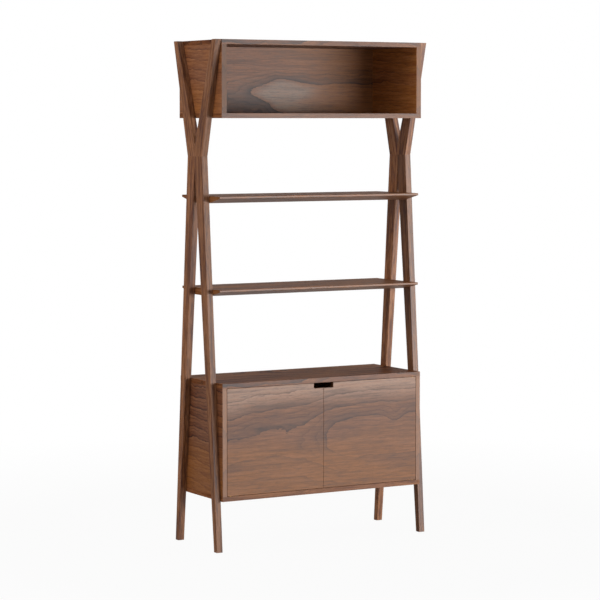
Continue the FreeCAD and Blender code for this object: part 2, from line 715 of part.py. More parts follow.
# Inner shelf on four pegs; the sides have a row of peg holes at each corner so that it can be moved.
shelf_half = f"({CABINET_INNER_HALF} - inner_shelf_slack)"
make_board("inner_shelf", (scaled(-1, shelf_half), shelf_half), (INNER_SHELF_FRONT, INNER_SHELF_REAR),
           INNER_SHELF_BASE, "inner_shelf_thickness", long_edges)
PEG_LEVEL = f"({INNER_SHELF_BASE} - peg_radius)"
peg_rows = (f"({INNER_SHELF_FRONT} + peg_inset)", f"({INNER_SHELF_REAR} - peg_inset)")
pegs = new_body("shelf_pins")
for side in (LEFT, RIGHT):
    holes = [(y, f"({PEG_LEVEL} + {step} * peg_hole_pitch)") for y in peg_rows for step in (-2, -1, 0, 1, 2)]
    drill_along_x(cabinet[side], side, holes, "peg_radius", "peg_length / 2", CABINET_INNER_HALF,
                  inwards=False)
    circles = new_sketch(pegs, "YZ_Plane", scaled(side, CABINET_INNER_HALF))
    add_circles(circles, [(y, PEG_LEVEL) for y in peg_rows], "peg_radius")
    add_pad(pegs, circles, "peg_length", symmetric=True)

# Doors, their hinges and the catch.
plate_screws = []
for side in (LEFT, RIGHT):
    name = SIDE_NAMES[side]
    make_door(side)
    make_striker(side)
    let_in_hinge(cabinet["bottom"], side, CABINET_INNER_BASE, inside_above=False)
    let_in_hinge(cabinet["top"], side, CABINET_INNER_TOP, inside_above=True)
    make_hinge_piece(f"{name}_lower_hinge_plate", side, CABINET_INNER_BASE, body_above=False, pin_up=True)
    make_hinge_piece(f"{name}_upper_hinge_plate", side, CABINET_INNER_TOP, body_above=True, pin_up=False)
    make_hinge_piece(f"{name}_lower_hinge_leaf", side, DOOR_BASE, body_above=True)
    make_hinge_piece(f"{name}_upper_hinge_leaf", side, DOOR_TOP, body_above=False)
    places = hinge_screw_places(side)
    plate_screws += [(CABINET_INNER_BASE, False, places), (CABINET_INNER_TOP, True, places)]
    make_screws(f"{name}_leaf_screws", [(DOOR_BASE, True, places), (DOOR_TOP, False, places)])
make_screws("hinge_plate_screws", plate_screws)

washers = new_body("hinge_washers")
pivots = [(scaled(side, PIVOT_X), PIVOT_Y) for side in (LEFT, RIGHT)]
rings = new_sketch(washers, "XY_Plane", CABINET_INNER_BASE)
add_circles(rings, pivots, "washer_radius")
add_circles(rings, pivots, "(pivot_radius + pivot_clearance)")
add_pad(washers, rings, "(door_gap - pivot_clearance)")

catch_places, catch_face = make_catch()
drill_upright(cabinet["bottom"], catch_places, "(screw_radius + screw_slack)",
              "(screw_length - catch_flange + screw_slack)", CABINET_INNER_BASE, upwards=False)

# Dowels.
frame_x = [scaled(side, FRAME_MIDDLE) for side in (LEFT, RIGHT)]
seam_places = [(x, z) for x in frame_x for z in (LEG_SEAM_DOWEL, ARM_SEAM_DOWEL)]
make_dowels("seam_dowels", [("XZ_Plane", 0, seam_places, "seam_dowel_reach")])
waist_places = [(x, scaled(limb, WAIST_DOWEL)) for x in frame_x for limb in (FRONT_LIMB, REAR_LIMB)]
make_dowels("waist_dowels", [("XY_Plane", WAIST, waist_places, "seam_dowel_reach")])
for side in (LEFT, RIGHT):
    make_dowels(f"{SIDE_NAMES[side]}_frame_dowels", [
        ("YZ_Plane", scaled(side, HALF_CASE), cubby_places + shelf_places + cabinet_places, "dowel_reach")])
for name, thickness, levels in (
    ("cubby", "cubby_side", (CUBBY_INNER_BASE, CUBBY_INNER_TOP)),
    ("cabinet", "cabinet_side", (CABINET_INNER_BASE, CABINET_INNER_TOP)),
):
    corners = case_dowel_places(LEFT, thickness) + case_dowel_places(RIGHT, thickness)
    make_dowels(f"{name}_dowels", [("XY_Plane", height, corners, "dowel_reach") for height in levels])

doc.recompute()

# Every feature is sound, and every cut takes material away, before anything is written.
for item in doc.Objects:
    if "Invalid" in item.State or "Error" in item.State:
        raise RuntimeError(f"{item.Label} failed: {item.State}")
    if item.isDerivedFrom("PartDesign::Pocket"):
        if item.Shape.Volume > item.BaseFeature.Shape.Volume - LEAST_CUT:
            raise RuntimeError(f"{item.Label} cuts nothing")
sub_parts = [item for item in doc.Objects if item.isDerivedFrom("PartDesign::Body")]
for body in sub_parts:
    if body.Shape.isNull() or not body.Shape.isValid():
        raise RuntimeError(f"{body.Label} has no sound shape")

os.makedirs("parts", exist_ok=True)
for body in sub_parts:
    body.Shape.exportStep(f"parts/{body.Label}.step")
print(f"{len(sub_parts)} sub-parts written")
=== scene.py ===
# %% [markdown]
# # A zigzag bookshelf in walnut
# The bookshelf arrives as finished pieces at their real size: two side frames of tapering limbs, an open
# cubby, two bevelled shelves and a cabinet with two doors. Nothing here moves or resizes them. This
# lesson gives each piece its finish, sets up a small studio round them and looks at them from the side
# that the photograph shows.

# %% Load the pieces
import math
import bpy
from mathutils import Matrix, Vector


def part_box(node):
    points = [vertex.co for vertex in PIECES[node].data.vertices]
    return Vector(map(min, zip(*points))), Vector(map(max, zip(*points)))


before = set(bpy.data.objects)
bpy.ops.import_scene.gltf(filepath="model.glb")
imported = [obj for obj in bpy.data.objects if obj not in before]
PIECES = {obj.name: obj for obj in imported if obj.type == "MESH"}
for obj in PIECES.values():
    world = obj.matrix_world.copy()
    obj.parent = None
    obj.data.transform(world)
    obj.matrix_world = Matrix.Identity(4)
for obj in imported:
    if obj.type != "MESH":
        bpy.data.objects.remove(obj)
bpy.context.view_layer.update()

from types import SimpleNamespace

import bpy
import numpy as np
from mathutils import Matrix, Vector

MM = 0.001

# %% [markdown]
# ## Colours and nodes
# Colours are written as sRGB hex values, the way a paint chart gives them, but a shader works in linear
# light, so one function converts them. A second function adds a node: it sets the node's properties and
# gives each input a value or another node's output. Every material below is written with these two, so
# that a line reads as one node.

# %% Helpers for colours and nodes
def colour(code, shade=1.0):
    """sRGB hex to linear RGBA: a power of 2.4 above the curve's short straight foot, times the shade."""
    parts = np.array([int(code[i:i + 2], 16) for i in (1, 3, 5)]) / 255
    linear = np.where(parts <= 0.04045, parts / 12.92, ((parts + 0.055) / 1.055) ** 2.4)
    return (*(linear * shade), 1.0)


def add(tree, kind, sockets=(), **settings):
    """Adds a node and sets its properties, then sets or links its inputs, given in order or by name. A node
    given as an input stands for its first output."""
    made = tree.nodes.new("ShaderNode" + kind)
    for name, value in settings.items():
        setattr(made, name, value)
    for name, value in sockets.items() if isinstance(sockets, dict) else enumerate(sockets):
        if isinstance(value, bpy.types.Node):
            value = value.outputs[0]
        if isinstance(value, bpy.types.NodeSocket):
            tree.links.new(value, made.inputs[name])
        else:
            made.inputs[name].default_value = value
    return made


def new_material(name):
    """An empty node material and its tree."""
    material = bpy.data.materials.new(name)
    material.use_nodes = True
    material.node_tree.nodes.clear()
    return material, material.node_tree


print("middle grey in linear light:", round(colour("#808080")[0], 3))

# %% [markdown]
# ## The white room
# The photograph shows a white room with no edge between floor and wall, and hardly any shadow. A real
# white cove would also light the bookshelf from behind, and the photograph's shaded faces are dark. So
# the white is shown only to the rays that look at it: those from the camera, and those that a shiny or
# clear surface mirrors or lets through. All other rays find a dim room that grows lighter towards the
# ceiling.

# %% White room
AMBIENT, CEILING = 0.1, 0.62


def looking(tree):
    """1 for a ray from the camera or from a shiny or clear surface: the largest of three flags."""
    flags = add(tree, "LightPath").outputs
    seen = add(tree, "Math", (flags["Is Camera Ray"], flags["Is Glossy Ray"]), operation="MAXIMUM")
    return add(tree, "Math", (seen, flags["Is Transmission Ray"]), operation="MAXIMUM")


world = bpy.data.worlds.new("white room")
bpy.context.scene.world = world
world.use_nodes = True
tree = world.node_tree
tree.nodes.clear()
rise = add(tree, "SeparateXYZ", (add(tree, "TexCoord").outputs["Generated"],)).outputs["Z"]
soft = add(tree, "MapRange", {"Value": rise, "To Min": AMBIENT, "To Max": CEILING})
strength = add(tree, "MapRange", {"Value": looking(tree), "To Min": soft, "To Max": 1.0})
light = add(tree, "Background", {"Color": (1, 1, 1, 1), "Strength": strength})
add(tree, "OutputWorld", {"Surface": light})
print(f"{world.name}: {AMBIENT} at the horizon and {CEILING} overhead")

# %% [markdown]
# ## The floor
# A studio floor is painted white with a roller. A cove that curves up into a wall could stand in for it,
# but it would have an end in some views. Here it is a level disc, alike from all sides, which glows
# nearly white where it is looked at and fades into the white room at its rim. The small rest is lit
# paint, which keeps a faint shadow round the feet.

# %% Shape of the floor
FLOOR_RADIUS = 3.2
CENTRE_HOLE = 0.001


def disc_points(radius, rings=12, sides=96):
    """A level disc with a tiny hole: the distance from the middle grows with the row, and the angle falls
    with the column."""
    reach = np.linspace(CENTRE_HOLE, radius, rings)[:, None]
    angle = -np.linspace(0, 2 * np.pi, sides, endpoint=False)[None, :]
    return np.stack([reach * np.cos(angle), reach * np.sin(angle), 0 * reach * angle], axis=-1)


def skin(name, points):
    """A mesh on a grid of points: one face between each four neighbours, and across the seam."""
    rows, columns = points.shape[:2]
    index = np.arange(rows * columns).reshape(rows, columns)
    index = np.concatenate([index, index[:, :1]], axis=1)
    faces = np.stack([index[:-1, :-1], index[:-1, 1:], index[1:, 1:], index[1:, :-1]], axis=-1)
    mesh = bpy.data.meshes.new(name)
    mesh.from_pydata(points.reshape(-1, 3).tolist(), [], faces.reshape(-1, 4).tolist())
    made = bpy.data.objects.new(name, mesh)
    bpy.context.scene.collection.objects.link(made)
    return made


floor = skin("floor", disc_points(FLOOR_RADIUS))
print(f"{floor.name}: {len(floor.data.polygons)} faces, {2 * FLOOR_RADIUS} m across")

# %% Paint of the floor
FLOOR_WHITE = 0.95
FADE_START, FADE_END = 0.4, 0.98
ROLLER_MM = 3.3

# Rolled paint: flat, without a gleam, and with the roller's faint mottle.
material, tree = new_material("white floor paint, rolled")
place = add(tree, "TexCoord").outputs["Object"]
reach = add(tree, "VectorMath", (place,), operation="LENGTH").outputs["Value"]
fade = FADE_START * FLOOR_RADIUS, FADE_END * FLOOR_RADIUS
glow = add(tree, "MapRange", (reach, *fade, FLOOR_WHITE, 1.0))
glow = add(tree, "Math", (looking(tree), glow), operation="MULTIPLY")
roller = add(tree, "TexNoise", {"Vector": place, "Scale": 1 / (ROLLER_MM * MM)})
paint = add(tree, "MixRGB", (roller, colour("#949492"), colour("#9A9A98")))
lit = add(tree, "BsdfDiffuse", {"Color": paint})
white = add(tree, "Emission", {"Strength": 1.0})
add(tree, "OutputMaterial", {"Surface": add(tree, "MixShader", (glow, lit, white))})
floor.data.materials.append(material)
print(f"{material.name}: {FLOOR_WHITE:.0%} white in the middle")

# %% [markdown]
# ## The camera
# The photograph is taken from 30 degrees to the left of the front, a little below the cubby, with a long
# lens from nine and a half metres. Its upright edges are almost parallel, so the camera looks down by
# only a few degrees.

# %% Camera
CAMERA_PLACE = Vector((-4.786, -8.2174, 1.6893))
CAMERA_TURN, CAMERA_PITCH = 30.187, 4.368  # degrees
FOCAL_PIXELS = 2358.5
IMAGE_PIXELS = 600
SENSOR_MM = 36.0
FAR_END = 100

camera = bpy.data.objects.new("camera", bpy.data.cameras.new("camera"))
bpy.context.scene.collection.objects.link(camera)
camera.data.sensor_width = SENSOR_MM
camera.data.lens = SENSOR_MM * FOCAL_PIXELS / IMAGE_PIXELS
camera.data.clip_end = FAR_END
camera.location = CAMERA_PLACE
camera.rotation_euler = (math.radians(90 - CAMERA_PITCH), 0, -math.radians(CAMERA_TURN))
bpy.context.scene.camera = camera
bpy.context.scene.view_settings.view_transform = "Standard"
print(f"camera lens {camera.data.lens:.1f} mm")

# %% [markdown]
# ## Lamps
# The shadow inside the cubby tells where the key light is. The right wall shades a third of the back
# panel, so the light stands to the right of the front, and the shadow's edge is some 280 mm wide, so the
# light is a very broad panel. The top throws no shadow on the back but the bottom does, a soft one, so
# the panel is no higher than the cubby's floor. The left sides and the tops of the shelves are lit too,
# so a second panel stands high on the left. Faces that see neither panel, such as the limbs' fronts
# beside the cubby, are dark, so the room's own light is weak, and a faint lamp on the camera's side only
# just shows the cubby's shaded corner. A weak panel behind the bookshelf serves the views from the rear.
# It is kept out of reflections, because the tops would mirror it.

# %% Light panels
AIM = Vector((0, 0, 1.12))


def panel(name, level, place, size, tint):
    """A lamp of this size in metres, aimed at the bookshelf. level is the share of a plain white level that
    a face square to the lamp receives, so the power is level times pi squared times distance squared."""
    lamp = bpy.data.objects.new(name, bpy.data.lights.new(name, "AREA"))
    bpy.context.scene.collection.objects.link(lamp)
    lamp.data.shape = "RECTANGLE"
    lamp.data.size, lamp.data.size_y = size
    lamp.data.color = colour(tint)[:3]
    lamp.location = place
    way = AIM - lamp.location
    lamp.data.energy = level * math.pi ** 2 * way.length_squared
    lamp.rotation_euler = way.to_track_quat("-Z", "Y").to_euler()
    return lamp


key = panel("key", level=0.89, place=(3.0, -5.2, 1.15), size=(4.3, 1.3), tint="#FFFFFF")
fill = panel("fill", level=0.62, place=(-3.985, 0.2, 2.6), size=(3.0, 2.8), tint="#FFF6EC")
faint = panel("faint", level=0.08, place=(-3.5, -6.0, 1.7), size=(0.8, 0.8), tint="#FFF6EC")
rear = panel("rear", level=0.35, place=(1.0, 5.0, 2.0), size=(3.0, 2.0), tint="#FFFFFF")
rear.visible_glossy = False
print("lamps:", ", ".join(f"{lamp.name} {lamp.data.energy:.0f} W" for lamp in (key, fill, faint, rear)))

# %% [markdown]
# ## Walnut
# Walnut is a brown wood with darker growth rings. A board sliced near the tree's edge shows the rings as
# long arches and closed eyes, and a board sliced across them shows straight lines. A painted texture
# could copy that for one face. Here it comes from one picture in space instead: rings are shells round
# the tree's heart, and the board is a cut through them. Where the heart rises towards the face an eye
# appears, away from it the lines run straight, and the edges get the right lines too. The next cells
# build this picture step by step, from the colours and the numbers that tell one board from another.

# %% Colours of walnut, and a plain board
# The second of these is the pale of sapwood and of a painted sheen at the top of the doors.
PALE, SAP_AND_SHEEN, EYE, GOLD, BROWN = "#8F6347", "#B09280", "#8E8880", "#7D4E26", "#6C452F"
GREY, RED, RING, PORE = "#412D26", "#4E2919", "#281914", "#22140F"
PLAIN_BOARD = {
    # Shape of the figure, in mm.
    "depth": 60,           # from the face down to the heart, at the eye
    "swell": 60,           # how much deeper the heart lies far from the eye
    "reach": 290,          # along the grain, from the eye to where the heart has sunk
    "first": 100,          # from the heart to the eye's rim
    "year": 34,            # from ring to ring
    "sway": 20,            # how far slow bends push the rings
    "sap": 900,            # across the face, from the eye to the pale top of sapwood and painted sheen
    "knots": (),           # each one's place along and across from the eye, half-widths, push across
    # Strength of the figure.
    "lines": 0.8,          # darkness of the eye's rim
    "later": 1.0,          # share of that in the rings beyond the rim
    "in_gold": 0.28,       # share of that in golden wood
    "grain": 1.0,          # strength of the fibres
    "ink": 0.0,            # darkening to near black on the face, below the eye and outside its rim
    "light_eye": 0.0,      # grey on the face, inside the rim
    # Colour and finish.
    "warmth": (0, 0, 0),   # how golden: everywhere, per metre along and per metre across the face
    "dark": GREY,          # colour of the darkest fibres
    "shade": 1.0,          # brightness of the board
    "edge": 1.0,           # brightness of its end faces
    "gloss": 0.5,          # shine of waxed faces
    "dull": 0.1,           # shine of dulled faces
    "under": 1.0,          # how far the underside counts as waxed
    "seed": 0.0,           # picks the board's own bends and zones
}
print(len(PLAIN_BOARD), "values describe a board")

# %% [markdown]
# ## The board's own directions
# Grain follows the board, not the room. So the pattern's coordinates start at the eye and run along the
# grain, across the face and out of the face. A veneered board's edges are covered by thin strips, the
# lippings, whose grain runs along the edge, so end faces can use a second set of coordinates. A stain
# and a grey eye belong to the sheet of veneer on the face, so they are kept off the board's back.

# %% Directions
ACROSS, DEEP, UP, FRONT = Vector((1, 0, 0)), Vector((0, 1, 0)), Vector((0, 0, 1)), Vector((0, -1, 0))
END_FACING, BACK_FACING = 0.7, -0.5


def board_turn(along, normal):
    """Euler angles of the frame whose X runs along the grain and whose Z points out of the face."""
    along, normal = Vector(along).normalized(), Vector(normal).normalized()
    return Matrix((along, normal.cross(along), normal)).transposed().to_euler()


def board_space(tree, along, normal, heart, lipping):
    """The place in the board's own directions, 1 on end faces, 1 on all faces but the back, and the
    surface's direction. A face is an end where its direction lies mostly along the grain."""
    source = add(tree, "TexCoord").outputs
    turned = {"Vector": source["Object"], "Location": heart, "Rotation": board_turn(along, normal)}
    local = add(tree, "Mapping", turned, vector_type="TEXTURE")
    slope = add(tree, "VectorMath", (source["Normal"], along), operation="DOT_PRODUCT").outputs["Value"]
    slope = add(tree, "Math", (slope,), operation="ABSOLUTE")
    end = add(tree, "Math", (slope, END_FACING), operation="GREATER_THAN")
    slope = add(tree, "VectorMath", (source["Normal"], normal), operation="DOT_PRODUCT").outputs["Value"]
    face = add(tree, "Math", (slope, BACK_FACING), operation="GREATER_THAN")
    if lipping:
        turned["Rotation"] = board_turn(lipping, along)
        strip = add(tree, "Mapping", turned, vector_type="TEXTURE")
        # Inputs 4 and 5 and output 1 are the ones that a Mix node uses for vectors.
        local = add(tree, "Mix", {0: end, 4: local, 5: strip}, data_type="VECTOR").outputs[1]
    return SimpleNamespace(local=local, end=end, face=face, facing=source["Normal"])


print("a door's grain is turned by", [round(math.degrees(angle)) for angle in board_turn(ACROSS, FRONT)])

# %% [markdown]
# ## Bends, zones, fibres and pores
# Everything irregular in the wood is noise stretched along the grain, at the size of the real thing:
# slow bends two hands long, golden or brown zones half a metre long, short ripples, gaps in the rings'
# lines, bundles of fibres, fibres and pores. Real pores are a fifth of a millimetre wide and real fibres
# finer still. Pores are drawn about five times as wide, and fibres as streaks of up to 5 mm, because finer
# ones would not show.

# %% Noise at the size of the wood's features
CELLS = {  # cell size in mm along, across and into the board, detail, roughness
    "bend": ((300, 250, 250), 4.0, 0.7),
    "zone": ((500, 130, 130), 2.0, 0.5),
    "ripple": ((120, 50, 50), 3.0, 0.6),
    "gap": ((140, 30, 30), 2.0, 0.5),
    "bundle": ((300, 11, 11), 2.0, 0.5),
    "fibre": ((60, 5, 5), 3.0, 0.65),
    "pore": ((16, 1.1, 1.1), 1.0, 0.5),
}
PORE_PEAKS = 0.6, 0.72


def features(tree, local, board):
    """Noise of about 0 to 1 for each feature, at the place divided by the feature's cell size. A bend has
    three directions, so it is the noise's colour. Pores are the noise's peaks."""
    wood = SimpleNamespace()
    for feature, (size, detail, roughness) in CELLS.items():
        cells = [1 / (length * MM) for length in size]
        place = add(tree, "VectorMath", (local, cells), operation="MULTIPLY")
        noise = add(tree, "TexNoise", {"Vector": place, "W": board.seed, "Scale": 1.0, "Detail": detail,
                                       "Roughness": roughness}, noise_dimensions="4D")
        setattr(wood, feature, noise.outputs["Color" if feature == "bend" else "Fac"])
    wood.pore = add(tree, "MapRange", (wood.pore, *PORE_PEAKS))
    return wood


print("features:", ", ".join(CELLS))

# %% Brown and golden zones
BROWN_TO_GOLD = 0.32, 0.68


def golden(tree, local, zone, board):
    """How golden the wood is, 0 to 1: the zone plus the board's warmth plus its drift, as a ramp."""
    everywhere, *drifts = board.warmth
    drift = add(tree, "VectorMath", (local, (*drifts, 0)), operation="DOT_PRODUCT").outputs["Value"]
    warm = add(tree, "Math", (zone, everywhere), operation="ADD")
    warm = add(tree, "Math", (warm, drift), operation="ADD")
    return add(tree, "MapRange", (warm, *BROWN_TO_GOLD))


print("zones are brown below {} and golden above {}".format(*BROWN_TO_GOLD))

# %% [markdown]
# ## The tree's heart
# The heart is a line under the face that bulges towards it at the eye. A point's distance from that line
# tells in which year the tree grew it. Slow bends sway the line, and a few chosen knots push the rings
# aside, so that the eye gets the photograph's outline.

# %% Knots
def push_aside(tree, local, across, knots):
    """The place across the face, less each knot's push times e to the minus square of the distance from
    the knot over its half-widths."""
    for knot_along, knot_across, wide, tall, push in knots:
        widths = 1 / (wide * MM), 1 / (tall * MM), 0
        start = -knot_along / wide, -knot_across / tall, 0
        near = add(tree, "VectorMath", (local, widths, start), operation="MULTIPLY_ADD")
        square = add(tree, "VectorMath", (near, near), operation="DOT_PRODUCT").outputs["Value"]
        hill = add(tree, "Math", (1 / math.e, square), operation="POWER")
        across = add(tree, "Math", (hill, -push * MM, across), operation="MULTIPLY_ADD")
    return across


print(f"a knot's push falls to {1 / math.e:.0%} at its half-width")

# %% Distance from the heart
BULGE = 4.0
DEEP_SWAY = 0.3


def heart_depth(tree, along, board):
    """depth plus swell times one minus e to the minus fourth power of the way along over the reach."""
    run = add(tree, "Math", (along, 1 / (board.reach * MM)), operation="MULTIPLY")
    run = add(tree, "Math", (run,), operation="ABSOLUTE")
    run = add(tree, "Math", (run, BULGE), operation="POWER")
    risen = add(tree, "Math", (1 / math.e, run), operation="POWER")
    sunk = add(tree, "Math", (1.0, risen), operation="SUBTRACT")
    return add(tree, "Math", (sunk, board.swell * MM, board.depth * MM), operation="MULTIPLY_ADD")


def heart_distance(tree, local, bend, board):
    """The distance from the heart line: the length of the way across and down to it. Also the way across.
    The place is first moved by the bend, from minus to plus the sway."""
    sway = board.sway * MM * Vector((0, 1, DEEP_SWAY))
    bent = add(tree, "VectorMath", (bend, 2 * sway, local), operation="MULTIPLY_ADD")
    bent = add(tree, "VectorMath", (bent, sway), operation="SUBTRACT")
    axis = add(tree, "SeparateXYZ", (bent,)).outputs
    across = push_aside(tree, local, axis["Y"], board.knots)
    below = add(tree, "Math", (axis["Z"], heart_depth(tree, axis["X"], board)), operation="ADD")
    away = add(tree, "CombineXYZ", {"Y": across, "Z": below})
    return add(tree, "VectorMath", (away,), operation="LENGTH").outputs["Value"], across


deepest = PLAIN_BOARD["depth"] + PLAIN_BOARD["swell"]
print("a plain board's heart lies", PLAIN_BOARD["depth"], "to", deepest, "mm deep")

# %% [markdown]
# ## Years
# Each year begins with a dark line and pales outwards, and two finer lines follow the first. Years are
# counted from the eye's rim, and a year's number also picks how dark that year is. The line is feathered
# by the fibres that it crosses, wanders with the ripples and breaks off now and then. It is weaker in
# golden wood, in the pale top of sapwood and painted sheen, and inside the eye.

# %% Count of the years
FEATHER = 5
RIPPLE = 0.6
# Where the pale top of sapwood and painted sheen starts and is full, in mm beyond its distance.
SAP_AND_SHEEN_START, SAP_AND_SHEEN_FULL = -20, 60


def count_years(tree, distance, across, wood, board):
    """Years from the rim: the distance, feathered in mm, less the rim's, over a year's width, plus the
    ripple. Feather and ripple are centred on 0. Also 1 outside the rim, and how far the place is into the
    pale top, which is partly sapwood and partly a painted sheen."""
    count = add(tree, "Math", (wood.fibre, FEATHER * MM, distance), operation="MULTIPLY_ADD")
    start = -(board.first + FEATHER / 2) / board.year - RIPPLE / 2
    count = add(tree, "Math", (count, 1 / (board.year * MM), start), operation="MULTIPLY_ADD")
    count = add(tree, "Math", (wood.ripple, RIPPLE, count), operation="MULTIPLY_ADD")
    outside = add(tree, "Math", (count, 0.0), operation="GREATER_THAN")
    pale = (board.sap + SAP_AND_SHEEN_START) * MM, (board.sap + SAP_AND_SHEEN_FULL) * MM
    sapwood_and_sheen = add(tree, "MapRange", (across, *pale))
    return SimpleNamespace(count=count, outside=outside, sapwood_and_sheen=sapwood_and_sheen)


print(f"a plain board has up to {deepest / PLAIN_BOARD['year']:.1f} years between heart and face")

# %% Strength of the lines
LEAST = 0.35
# Share of a line left in the pale top, which is sapwood and painted sheen.
IN_SAP_AND_SHEEN = 0.4
BROKEN = 0.3, 0.7, 0.4, 1.0  # gap noise from and to, share of the line left there


def line_strength(tree, ring, wood, board):
    """The product of the shares that gaps, golden wood, the year's own luck, the eye and the pale top of
    sapwood and painted sheen leave of a line. The year at the rim has full luck."""
    number = add(tree, "Math", (ring.count,), operation="FLOOR")
    luck = add(tree, "TexWhiteNoise", {"W": number}, noise_dimensions="1D")
    luck = add(tree, "MapRange", (luck, 0.0, 1.0, LEAST * board.later, board.later))
    rim = add(tree, "MapRange", (number, 0.0, 1.0, 1.0, board.later))
    shares = (add(tree, "MapRange", (wood.warm, 0.0, 1.0, board.lines, board.in_gold * board.lines)),
              add(tree, "Math", (luck, rim), operation="MAXIMUM"),
              add(tree, "MapRange", (ring.outside, 0.0, 1.0, LEAST * board.later, 1.0)),
              add(tree, "MapRange", (ring.sapwood_and_sheen, 0.0, 1.0, 1.0, IN_SAP_AND_SHEEN)))
    strong = add(tree, "MapRange", (wood.gap, *BROKEN))
    for share in shares:
        strong = add(tree, "Math", (strong, share), operation="MULTIPLY")
    return strong


print(f"the palest year keeps {LEAST:.0%} of its line, sapwood {IN_SAP_AND_SHEEN:.0%}")

# %% Strokes of a year
STROKES = {  # how many a year, power, darkness
    "shade": (1, 1.6, 0.85),
    "fine lines": (3, 4.0, 0.7),
    "line": (1, 14.0, 0.8),
}


def draw_strokes(tree, count, strong):
    """Each stroke is one minus the fraction of the count, to a power, times strength and darkness."""
    strokes = []
    for times, power, darkness in STROKES.values():
        part = add(tree, "Math", (count, times), operation="MULTIPLY")
        part = add(tree, "Math", (part,), operation="FRACT")
        part = add(tree, "Math", (1.0, part), operation="SUBTRACT")
        stroke = add(tree, "Math", (part, power), operation="POWER")
        stroke = add(tree, "Math", (stroke, strong), operation="MULTIPLY")
        strokes.append(add(tree, "Math", (stroke, darkness), operation="MULTIPLY"))
    return strokes


print("a year's strokes:", ", ".join(STROKES))

# %% [markdown]
# ## Colour
# Walnut's brown turns golden in some zones and pale at the top of the doors, partly as sapwood and partly
# as a painted sheen. On the cubby's back it turns grey in the eye and is darkened to near black below it.
# On that ground lie, in this order, pale and dark fibres, pale and dark bundles of them, the strokes of
# each year and the pores. The lippings on the ends are cut from other wood and have their own shade; on
# the cubby's right side they also take back that board's painted light.

# %% Darkening below the eye, pale top and grey eye
# Darkening below the eye: where it starts and is full, in mm across from the eye.
DARKENING_START, DARKENING_FULL = 25, -40
DARKENING_STREAKS = 0.35, 0.6, 0.55, 1.0  # bundle noise from and to, share of the darkening left there
EYE_RIM = 0.05, -0.3
EYE_IN_GOLD = 0.5, 1.0, 1.0, 0.0  # golden from and to, share of the grey left there
# Share of the pale of sapwood and painted sheen.
SAP_AND_SHEEN_SHARE = 0.72


def veneer_layers(tree, space, wood, ring, across, board):
    """Amount and colour of the darkening below the eye, of the pale top, which is sapwood and painted
    sheen, and of the grey eye. Darkening and eye are products of ramps.
    """
    layers = [(add(tree, "Math", (ring.sapwood_and_sheen, SAP_AND_SHEEN_SHARE), operation="MULTIPLY"), SAP_AND_SHEEN)]
    # The face is darkened to near black below the eye, outside its rim, in streaks.
    if board.ink:
        darkening = add(tree, "MapRange", (across, DARKENING_START * MM, DARKENING_FULL * MM, 0.0, board.ink))
        streaks = add(tree, "MapRange", (wood.bundle, *DARKENING_STREAKS))
        for share in (ring.outside, streaks, space.face):
            darkening = add(tree, "Math", (darkening, share), operation="MULTIPLY")
        layers.insert(0, (darkening, RING))
    if board.light_eye:
        eye = add(tree, "MapRange", (ring.count, *EYE_RIM, 0.0, board.light_eye))
        for share in (add(tree, "MapRange", (wood.warm, *EYE_IN_GOLD)), space.face):
            eye = add(tree, "Math", (eye, share), operation="MULTIPLY")
        layers.append((eye, EYE))
    return layers


print("stain, sapwood and eye:", RING, SAP_AND_SHEEN, EYE)

# %% All colours
STRANDS = (  # feature, noise at full strength, share, pale or dark
    ("fibre", 0.72, 0.5, "pale"), ("fibre", 0.28, 0.6, "dark"),
    ("bundle", 0.75, 0.35, "pale"), ("bundle", 0.25, 0.45, "dark"),
)
STRAND_START = 0.5
PORE_SHARE = 0.5


def wood_colour(tree, space, wood, ring, across, board):
    """Brown to gold, then each layer mixed over it by its amount, then times the edge on end faces."""
    layers = veneer_layers(tree, space, wood, ring, across, board)
    for feature, full, share, kind in STRANDS:
        ramp = getattr(wood, feature), STRAND_START, full, 0.0, share * board.grain
        layers.append((add(tree, "MapRange", ramp), PALE if kind == "pale" else board.dark))
    strokes = draw_strokes(tree, ring.count, line_strength(tree, ring, wood, board))
    layers.extend(zip(strokes, (board.dark, RING, RING)))
    layers.append((add(tree, "Math", (wood.pore, PORE_SHARE), operation="MULTIPLY"), PORE))
    tone = add(tree, "MixRGB", (wood.warm, colour(BROWN, board.shade), colour(GOLD, board.shade)))
    for amount, code in layers:
        tone = add(tree, "MixRGB", (amount, tone, colour(code, board.shade)))
    ends = board.edge, board.edge, board.edge, 1
    return add(tree, "MixRGB", (space.end, tone, ends), blend_type="MULTIPLY")


print("ground, fibres and pores:", BROWN, GOLD, PALE, GREY, RED, PORE)

# %% [markdown]
# ## Wear, wax and oil
# Edges are rubbed paler by hands and dusters. A Bevel node finds them: its rounded direction differs
# from the face's own near an edge. The wood is planed, oiled and waxed to a satin: a middling roughness,
# rougher in the pores, with the fibres standing up by a fraction of a millimetre. Fronts, backs and
# undersides keep the wax, while tops and sides, where things stand and hands pass, are dulled.

# %% Wear
WEAR_MM, WEAR_SAMPLES = 2.0, 4
WEAR = 0.98, 0.8, 0.0, 0.6  # likeness of the two directions from and to, paleness


def rub_edges(tree, tone, wood, board):
    """Pale wood mixed in by a ramp on the dot product of the rounded and the true direction, times the
    fibres."""
    rounded = add(tree, "Bevel", {"Radius": WEAR_MM * MM}, samples=WEAR_SAMPLES)
    true = add(tree, "NewGeometry").outputs["Normal"]
    likeness = add(tree, "VectorMath", (rounded, true), operation="DOT_PRODUCT").outputs["Value"]
    rubbed = add(tree, "MapRange", (likeness, *WEAR))
    rubbed = add(tree, "Math", (rubbed, wood.fibre), operation="MULTIPLY")
    return add(tree, "MixRGB", (rubbed, tone, colour(PALE, board.shade)))


print(f"edges are rubbed over {WEAR_MM} mm")

